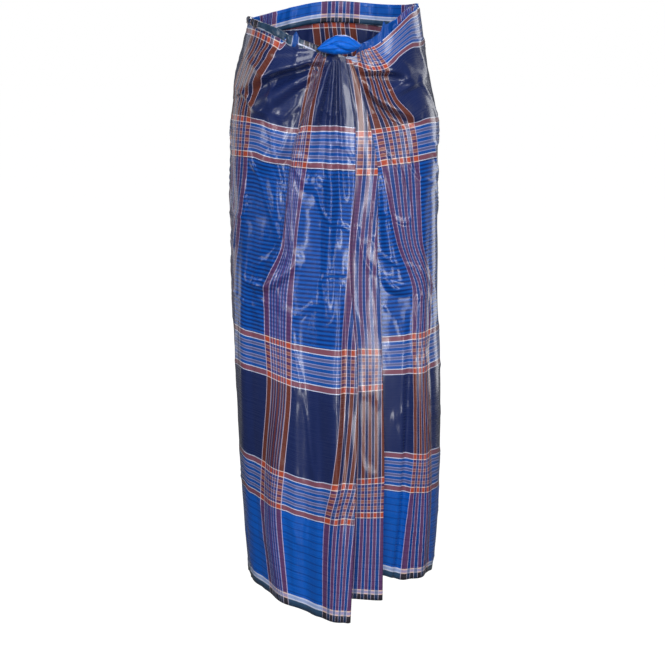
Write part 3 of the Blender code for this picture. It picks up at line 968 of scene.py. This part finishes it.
# %% Turned-in strips
OVER = (  # rolled right over the edge: distance out, up and weft line, in mm
    (-5, -30, 1200), (-4.6, -12, 1210), (-4, 1, 1221), (-2.2, 5, 1229), (0.4, 6.6, 1235), (2.4, 4.8, 1237),
    (3.3, 1, 1232), (2.6, -4, 1223.5),
)
INSIDE = (  # standing just inside the edge, as at the right
    (-5, -30, 1205), (-4.2, -10, 1185), (-3.4, 2, 1165), (-2.8, 5.5, 1155), (-2, 6, 1150), (-1.4, 4, 1146),
    (-1.2, -4, 1140),
)
LOW_ROLL = (  # low and inside, as round the back
    (-5.2, -34, 1238), (-4.6, -18, 1215), (-3.6, -2, 1195), (-1.8, 2.6, 1185), (-0.6, 2.2, 1180),
    (-0.8, -3, 1172),
)
WAIST_RIGHT = ("wide_left", "wide_right", "right_round", "right_end")
left_turn_in = rolled_strip(
    "left_turn_in_cloth", WAIST_LEFT, 150, OVER, -0.035, left_stand, 61, left_off, left_droop
)
right_turn_in = rolled_strip("right_turn_in_cloth", WAIST_RIGHT, 130, INSIDE, 0.360, right_stand, 71)


# %% Back strip
def back_strip():
    """The same roll round the back, lower and hardly showing."""
    share = np.linspace(0, 1, 150)
    angle = BACK_FIRST + 0.02 + share * (BACK_LAST - BACK_FIRST - 0.04)
    side = 0.5 - 0.5 * np.cos(2 * math.pi * (angle - BACK_FIRST) / (BACK_LAST - BACK_FIRST))
    right_top, left_top = (STATIONS[name]["z"][-1] for name in ("right_end", "left_end"))
    z = (right_top + (left_top - right_top) * share) * (1 - side) + side * BACK_Z[-1]
    steps, out_in, up, weft = roll_profile(LOW_ROLL, 18)
    u = np.ones((len(steps), 1)) * (0.43 + arc_length(*ring(angle, z)))
    lift = sum(height * np.exp(-(((angle - middle) / reach) ** 2)) for middle, height, reach in BACK_GATHERS)
    dent = 0.0008 * ripple(u / 0.007, (weft + 0 * u) / 0.005, 83)
    points = put(np.ones((len(steps), 1)) * angle, z + up, lift + out_in + dent)
    return sheet_mesh("back_turn_in_cloth", points, u, weft * np.ones_like(u), 0.0006)


back_turn_in = back_strip()

# %% [markdown]
# ## The knot
#
# The spare cloth is twisted and tucked over the waist. It shows as a plump
# bright-blue roll, pinched at both ends, with creases that run to the pinches.

# %% Knot
KNOT_LEFT, KNOT_RIGHT = -0.022, 0.044
KNOT_Y, KNOT_Z = -0.1450, 0.0000
KNOT_OUT, KNOT_UP, KNOT_IN, KNOT_LEAN = 0.0200, 0.0155, 0.0340, 0.008
share = np.linspace(0, 1, 110)
bow = np.sin(math.pi * share)
turn_share = np.linspace(0, 1, 80)
knot_points = np.empty((len(share), len(turn_share), 3))
for row, (s, bend) in enumerate(zip(share, bow)):
    size = 0.16 + 0.84 * bend**0.75
    turns = np.radians(60 - 110 * bend + turn_share * (262 - 60 + 110 * bend))
    creases = (
        0.05 * math.sin(9 * s + 0.6) * np.sin(5 * turns + 5 * s)
        - 0.13 * np.maximum(np.sin(2.6 * turns - 5.0 * s + 1.4), 0) ** 9
        - 0.09 * np.maximum(np.sin(4.1 * turns + 3.5 * s + 0.2), 0) ** 7
        + 0.06 * ripple(6 * s + 0 * turns, 2.5 * turns, 91)
        + 0.03 * ripple(17 * s + 0 * turns, 6 * turns, 92)
    )
    full = size * (1 + creases * (0.4 + 0.6 * bend))
    reach = np.where(np.cos(turns) > 0, KNOT_IN, KNOT_OUT) * full
    knot_points[row, :, 0] = KNOT_LEFT + s * (KNOT_RIGHT - KNOT_LEFT) + 0.003 * np.sin(turns)
    knot_points[row, :, 1] = KNOT_Y - KNOT_LEAN * (1 - size) + reach * np.cos(turns)
    pinch = 0.003 * (1 - size) - 0.006 * (1 - bend)
    knot_points[row, :, 2] = KNOT_Z + pinch + KNOT_UP * full * np.sin(turns)
knot_u = 0.085 + 0.05 * share[:, None] * np.ones((1, len(turn_share)))
knot_v = 1.085 + 0.09 * turn_share[None, :] * np.ones((len(share), 1))
knot = sheet_mesh("knot_cloth", knot_points, knot_u, knot_v, 0.0010)

# %% [markdown]
# ## The weave
#
# Instead of mixing two yarns by a formula, the group keeps two charts of the
# weft: one as it looks over the ground warp and one as it looks over the
# brown warp. The warp chart then picks between them.

# %% Node helpers
def add(tree, kind, **values):
    node = tree.nodes.new(kind)
    for key, value in values.items():
        setattr(node, key, value)
    return node


def feed(tree, socket, value):
    """Link a socket, or set its number."""
    if isinstance(value, bpy.types.NodeSocket):
        tree.links.new(value, socket)
    else:
        socket.default_value = value


def do(tree, operation, *values):
    node = add(tree, "ShaderNodeMath", operation=operation)
    for socket, value in zip(node.inputs, values):
        feed(tree, socket, value)
    return node.outputs[0]


def mix(tree, share, first, second, blend="MIX"):
    node = add(tree, "ShaderNodeMix", data_type="RGBA", blend_type=blend)
    feed(tree, node.inputs[0], share)
    for socket, value in zip((node.inputs[6], node.inputs[7]), (first, second)):
        feed(tree, socket, value if isinstance(value, bpy.types.NodeSocket) else (*value, 1))
    return node.outputs[2]


def chart(tree, at, full, stops):
    """A stripe chart: each stop is where a stripe starts, in mm, and its colour."""
    ramp = add(tree, "ShaderNodeValToRGB")
    ramp.color_ramp.interpolation = "CONSTANT"
    cells = ramp.color_ramp.elements
    while len(cells) > 1:
        cells.remove(cells[-1])
    for k, (start, colour) in enumerate(stops):
        cell = cells[0] if k == 0 else cells.new(start / full)
        cell.position = start / full
        cell.color = (*colour, 1)
    feed(tree, ramp.inputs["Fac"], do(tree, "DIVIDE", at, full))
    return ramp.outputs["Color"]


def linear(text):
    """Shader colour of a six-figure screen colour."""
    parts = [int(text[k : k + 2], 16) / 255 for k in (0, 2, 4)]
    return tuple(p / 12.92 if p <= 0.04045 else ((p + 0.055) / 1.055) ** 2.4 for p in parts)


def node_group(name, inputs, outputs):
    """A new group, with its given values and its result sockets."""
    tree = bpy.data.node_groups.new(name, "ShaderNodeTree")
    for label, start in inputs:
        kind = "NodeSocketVector" if start is None else "NodeSocketFloat"
        socket = tree.interface.new_socket(name=label, in_out="INPUT", socket_type=kind)
        if start is not None:
            socket.default_value = start
    for label, kind in outputs:
        tree.interface.new_socket(name=label, in_out="OUTPUT", socket_type="NodeSocket" + kind)
    return tree, add(tree, "NodeGroupInput").outputs, add(tree, "NodeGroupOutput").inputs


print("screen grey 808080 is", round(linear("808080")[0], 3), "in a shader")

# %% Yarns and charts
YARNS = {  # each weft yarn over the ground warp, and over the brown warp
    "selvedge": ("2E4A68", "33303A"),
    "white": ("C4CBE4", "DDBDB0"),
    "pale": ("93A6D2", "9C90B8"),
    "royal": ("0554B2", "5A3864"),
    "navy": ("1A2858", "66332B"),
    "rust": ("7A4A5C", "AC4630"),
    "blue": ("124EA0", "50305A"),
    "mauve": ("565C8C", "86504C"),
    "lilac": ("8C94C4", "B08078"),
}
PALE_EDGE, UPPER_GROUND = 21.5, 467
GROUND_ZONES = (  # where each ground starts up the cloth, in mm
    (0, "selvedge"), (11, "white"), (13, "pale"), (19, "white"), (PALE_EDGE, "royal"), (247, "navy"),
    (UPPER_GROUND, "royal"),
)
MIDDLE_LINE = 619.0  # the cloth mirrors about this weft line, in mm
BAND_MIDDLES, BAND_HALF = (209.0, 428.5), 38.0
BAND = (  # from a band's middle outwards
    (0, "blue"), (2.7, "lilac"), (3.9, "mauve"), (7.9, "lilac"), (9.1, "blue"), (14.4, "lilac"),
    (15.6, "mauve"), (19.6, "lilac"), (20.8, "blue"), (26.2, "white"), (27.7, "rust"), (36.5, "white"),
)
BROWN, WHITE, DARK, NONE = (1, 0, 0), (0, 1, 0), (0, 0, 1), (0, 0, 0)
WIDE_MIDDLE, FINE_MIDDLE = 35.0, 176.0
WIDE_GROUP = (  # from a group's middle outwards
    (0, BROWN), (3, WHITE), (3.8, DARK), (9.2, WHITE), (10, BROWN), (16, WHITE), (16.8, DARK),
    (23, WHITE), (24, BROWN), (34, WHITE), (35, NONE),
)
FINE_CELL = ((0, (0.8, 0, 0)), (1.6, DARK), (3.2, (0.1, 0.45, 0)))
FINE_GROUP = tuple((4.2 * k + step, kind) for k in range(3) for step, kind in FINE_CELL)
FINE_GROUP += ((12.6, WHITE), (13.4, BROWN), (20.8, WHITE), (22, NONE))
print("wide group", WIDE_GROUP[-1][0] * 2, "mm, fine group", FINE_GROUP[-1][0] * 2, "mm wide")

# %% Plaid weave group
weave, given, result = node_group(
    "plaid weave",
    (
        ("Place", None), ("Ribs", 0.42), ("Streaks", 0.16), ("Lift", 1.0), ("Shine Spread", 0.12),
        ("Shine", 0.3),
    ),
    (("Colour", "Color"), ("Roughness", "Float"), ("Height", "Float")),
)
split = add(weave, "ShaderNodeSeparateXYZ")
feed(weave, split.inputs[0], given["Place"])
warp_mm = do(weave, "MULTIPLY", split.outputs["X"], 1000.0)
weft_mm = do(weave, "MULTIPLY", split.outputs["Y"], 1000.0)


def distance_from(place, middle):
    """How far a thread is from the middle of a stripe group."""
    return do(weave, "ABSOLUTE", do(weave, "SUBTRACT", place, middle))


thread = do(weave, "FLOORED_MODULO", warp_mm, REPEAT * 1000)
wide_chart = chart(weave, distance_from(thread, WIDE_MIDDLE), 40.0, WIDE_GROUP)
fine_chart = chart(weave, distance_from(thread, FINE_MIDDLE), 26.0, FINE_GROUP)
warp_chart = add(weave, "ShaderNodeSeparateColor")
feed(weave, warp_chart.inputs[0], mix(weave, 1.0, wide_chart, fine_chart, "ADD"))
brown, white, dark = (warp_chart.outputs[name] for name in ("Red", "Green", "Blue"))
row = do(weave, "SUBTRACT", MIDDLE_LINE, distance_from(weft_mm, MIDDLE_LINE))
from_band = do(weave, "MINIMUM", *(distance_from(row, middle) for middle in BAND_MIDDLES))
in_band = do(weave, "LESS_THAN", from_band, BAND_HALF)
looks = []
for warp in (0, 1):
    yarns = {name: linear(shades[warp]) for name, shades in YARNS.items()}
    plain = chart(weave, row, 620.0, [(start, yarns[name]) for start, name in GROUND_ZONES])
    banded = chart(weave, from_band, 40.0, [(start, yarns[name]) for start, name in BAND])
    looks.append(mix(weave, in_band, plain, banded))
cloth = mix(weave, brown, *looks)
cloth = mix(weave, do(weave, "MULTIPLY", dark, 0.55), cloth, linear("1C2650"))
cloth = mix(weave, do(weave, "MULTIPLY", white, 0.66), cloth, linear("D5C6DC"))
print("charts laid out in", len(weave.nodes), "nodes so far")

# %% Ribs and pin lines
RIB_STEP, PIN_STEP, PIN_WIDE, THREAD_STEP = 7.25, 13.0, 2.3, 0.9  # mm
LOWER_TOP = 171.0  # the lower ground ends here, and its pin lines with it
in_ribs = do(weave, "GREATER_THAN", row, UPPER_GROUND)
above_edge = do(weave, "GREATER_THAN", row, PALE_EDGE)
in_lower = do(weave, "MULTIPLY", above_edge, do(weave, "LESS_THAN", row, LOWER_TOP))
rib_wave = do(weave, "SINE", do(weave, "MULTIPLY", weft_mm, 2 * math.pi / RIB_STEP))
rib = do(weave, "MULTIPLY", do(weave, "MULTIPLY_ADD", rib_wave, 0.5, 0.5), in_ribs)
pin_line = do(weave, "LESS_THAN", do(weave, "FLOORED_MODULO", weft_mm, PIN_STEP), PIN_WIDE)
pins = do(weave, "MULTIPLY", do(weave, "MULTIPLY", pin_line, in_lower), 0.5)
dark_weft = do(weave, "MAXIMUM", rib, pins)
warp_there = do(weave, "MINIMUM", do(weave, "ADD", do(weave, "ADD", brown, white), dark), 1.0)
dark_weft = do(weave, "MULTIPLY", dark_weft, do(weave, "MULTIPLY_ADD", warp_there, -0.6, 1.0))
dark_weft = do(weave, "MULTIPLY", dark_weft, given["Ribs"])
cloth = mix(weave, dark_weft, cloth, linear("041A50"))
print("ribs every", RIB_STEP, "mm, pin lines every", PIN_STEP, "mm")


# %% Streaks along the threads
def streaks(across_scale, up_scale, detail):
    """Noise drawn out along the threads."""
    place = add(weave, "ShaderNodeCombineXYZ")
    feed(weave, place.inputs[0], do(weave, "MULTIPLY", split.outputs["X"], across_scale))
    feed(weave, place.inputs[1], do(weave, "MULTIPLY", split.outputs["Y"], up_scale))
    noise = add(weave, "ShaderNodeTexNoise", noise_dimensions="2D")
    noise.inputs["Scale"].default_value = 1.0
    noise.inputs["Detail"].default_value = detail
    feed(weave, noise.inputs["Vector"], place.outputs[0])
    return noise.outputs["Fac"]


warp_slub = streaks(900.0, 14.0, 2.0)
weft_slub = streaks(12.0, 1100.0, 2.0)
cloud = streaks(22.0, 14.0, 3.0)
slub = do(weave, "ADD", do(weave, "ADD", warp_slub, weft_slub), do(weave, "MULTIPLY", cloud, 0.8))
tone = do(weave, "MULTIPLY_ADD", do(weave, "SUBTRACT", slub, 1.4), given["Streaks"], 1.0)
scaled = add(weave, "ShaderNodeVectorMath", operation="SCALE")
feed(weave, scaled.inputs[0], cloth)
# The colour is also scaled by a brightness factor for the whole piece: above 1 it is painted light, below 1
# painted shade.
feed(weave, scaled.inputs["Scale"], do(weave, "MULTIPLY", tone, given["Lift"]))
print("streaks at three scales")

# %% Shine and thread relief
uneven = do(weave, "SUBTRACT", do(weave, "ADD", cloud, weft_slub), 1.0)
roughness = do(weave, "MULTIPLY_ADD", uneven, given["Shine Spread"], given["Shine"])
thread_up = do(weave, "SINE", do(weave, "MULTIPLY", warp_mm, 2 * math.pi / THREAD_STEP))
thread_across = do(weave, "SINE", do(weave, "MULTIPLY", weft_mm, 2 * math.pi / THREAD_STEP))
relief = do(weave, "ADD", do(weave, "MULTIPLY", thread_up, thread_across), do(weave, "MULTIPLY", slub, 1.2))
relief = do(weave, "ADD", relief, do(weave, "MULTIPLY", rib, 0.8))
feed(weave, result["Colour"], scaled.outputs["Vector"])
feed(weave, result["Roughness"], roughness)
feed(weave, result["Height"], relief)
print("plaid weave group:", len(weave.nodes), "nodes")

# %% [markdown]
# ## Fine creases
#
# The folds above are in the mesh. Much smaller creases, a millimetre or two
# across, are drawn as relief, from warped noise that breaks into flat facets
# the way starched cloth does.

# %% Fine crease group
creasing, given, result = node_group(
    "fine creases", (("Place", None), ("Size", 60.0), ("Sharpness", 1.0)), (("Height", "Float"),)
)
stretch = add(creasing, "ShaderNodeVectorMath", operation="MULTIPLY")
feed(creasing, stretch.inputs[0], given["Place"])
stretch.inputs[1].default_value = (1.0, 0.45, 1.0)
warping = add(creasing, "ShaderNodeTexNoise", noise_dimensions="2D")
warping.inputs["Scale"].default_value = 24.0
feed(creasing, warping.inputs["Vector"], stretch.outputs[0])
moved = add(creasing, "ShaderNodeVectorMath", operation="MULTIPLY_ADD")
feed(creasing, moved.inputs[0], warping.outputs["Color"])
moved.inputs[1].default_value = (0.05, 0.03, 0)
feed(creasing, moved.inputs[2], stretch.outputs[0])
facets = add(creasing, "ShaderNodeTexVoronoi", voronoi_dimensions="2D", feature="SMOOTH_F1")
facets.inputs["Smoothness"].default_value = 0.35
feed(creasing, facets.inputs["Vector"], moved.outputs[0])
feed(creasing, facets.inputs["Scale"], given["Size"])
feed(creasing, result["Height"], do(creasing, "MULTIPLY", facets.outputs["Distance"], given["Sharpness"]))
print("fine creases group:", len(creasing.nodes), "nodes")


# %% Cloth finish
def cloth_finish(name, shine=0.27, coat=0.80, lift=1.0, crease=0.16):
    """Glazed cotton: the weave's colour with a soft calendered shine; lift scales the colour, painted light
    above 1 and painted shade below 1.
    """
    material = bpy.data.materials.new(name)
    material.use_nodes = True
    tree = material.node_tree
    shader = tree.nodes["Principled BSDF"]
    shader.inputs["Coat Weight"].default_value = coat
    shader.inputs["Coat Roughness"].default_value = 0.16
    shader.inputs["Sheen Weight"].default_value = 0.02
    shader.inputs["Sheen Roughness"].default_value = 0.4
    shader.inputs["Specular IOR Level"].default_value = 0.15
    place = add(tree, "ShaderNodeUVMap", uv_map="cloth")
    woven = add(tree, "ShaderNodeGroup")
    woven.node_tree = weave
    feed(tree, woven.inputs["Place"], place.outputs["UV"])
    for socket, value in (("Ribs", 0.84), ("Streaks", 0.20), ("Lift", lift), ("Shine", shine)):
        woven.inputs[socket].default_value = value
    creased = add(tree, "ShaderNodeGroup")
    creased.node_tree = creasing
    feed(tree, creased.inputs["Place"], place.outputs["UV"])
    creased.inputs["Sharpness"].default_value = crease
    folds = add(tree, "ShaderNodeBump")
    folds.inputs["Strength"].default_value = 0.5
    folds.inputs["Distance"].default_value = 0.003
    feed(tree, folds.inputs["Height"], creased.outputs["Height"])
    threads = add(tree, "ShaderNodeBump")
    threads.inputs["Strength"].default_value = 0.35
    threads.inputs["Distance"].default_value = 0.00012
    feed(tree, threads.inputs["Height"], woven.outputs["Height"])
    feed(tree, threads.inputs["Normal"], folds.outputs["Normal"])
    feed(tree, shader.inputs["Base Color"], woven.outputs["Colour"])
    feed(tree, shader.inputs["Roughness"], woven.outputs["Roughness"])
    feed(tree, shader.inputs["Normal"], threads.outputs["Normal"])
    return material


FINISHES = {
    "left_panel": (left_panel, {}),
    "middle_pleat": (middle_pleat, {}),
    "right_panel": (right_panel, {}),
    "back_panel": (back_panel, {"shine": 0.34}),
    # The left roll's colour is scaled down to 0.62: painted shade over the whole roll.
    "left_turn_in": (left_turn_in, {"shine": 0.4, "coat": 0.25, "lift": 0.62, "crease": 0.6}),
    "right_turn_in": (right_turn_in, {"shine": 0.4, "coat": 0.15, "crease": 0.6}),
    "back_turn_in": (back_turn_in, {"shine": 0.4, "coat": 0.15, "crease": 0.6}),
    # The knot's colour is scaled up by 1.35: painted light over the whole knot.
    "knot": (knot, {"shine": 0.42, "coat": 0.04, "lift": 1.35, "crease": 0.6}),
}
for node, (piece, finish) in FINISHES.items():
    piece.data.materials.append(cloth_finish(node + " cotton", **finish))
    print(node, "finished")

# %% [markdown]
# ## Sheets in place of the solids
#
# Every sheet stands for the CAD solid it follows, which is hidden; the table lists how large each was on the
# cutting table.

# %% Sheets on the root
CUTS = {  # width round the tube, height up the cloth
    "left_panel": (0.52, 1.00, "hung"),
    "middle_pleat": (0.26, 1.00, "folded"),
    "right_panel": (0.26, 1.04, "hung"),
    "back_panel": (0.42, 1.03, "hung"),
    "left_turn_in": (0.20, 0.060, "folded"),
    "right_turn_in": (0.16, 0.060, "folded"),
    "back_turn_in": (0.38, 0.045, "folded"),
    "knot": (0.07, 0.10, "folded"),
}
for node, (piece, _) in FINISHES.items():
    wide, tall, held = CUTS[node]
    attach(piece, "root")
    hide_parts(node)
print(len(CUTS), "sheets declared")
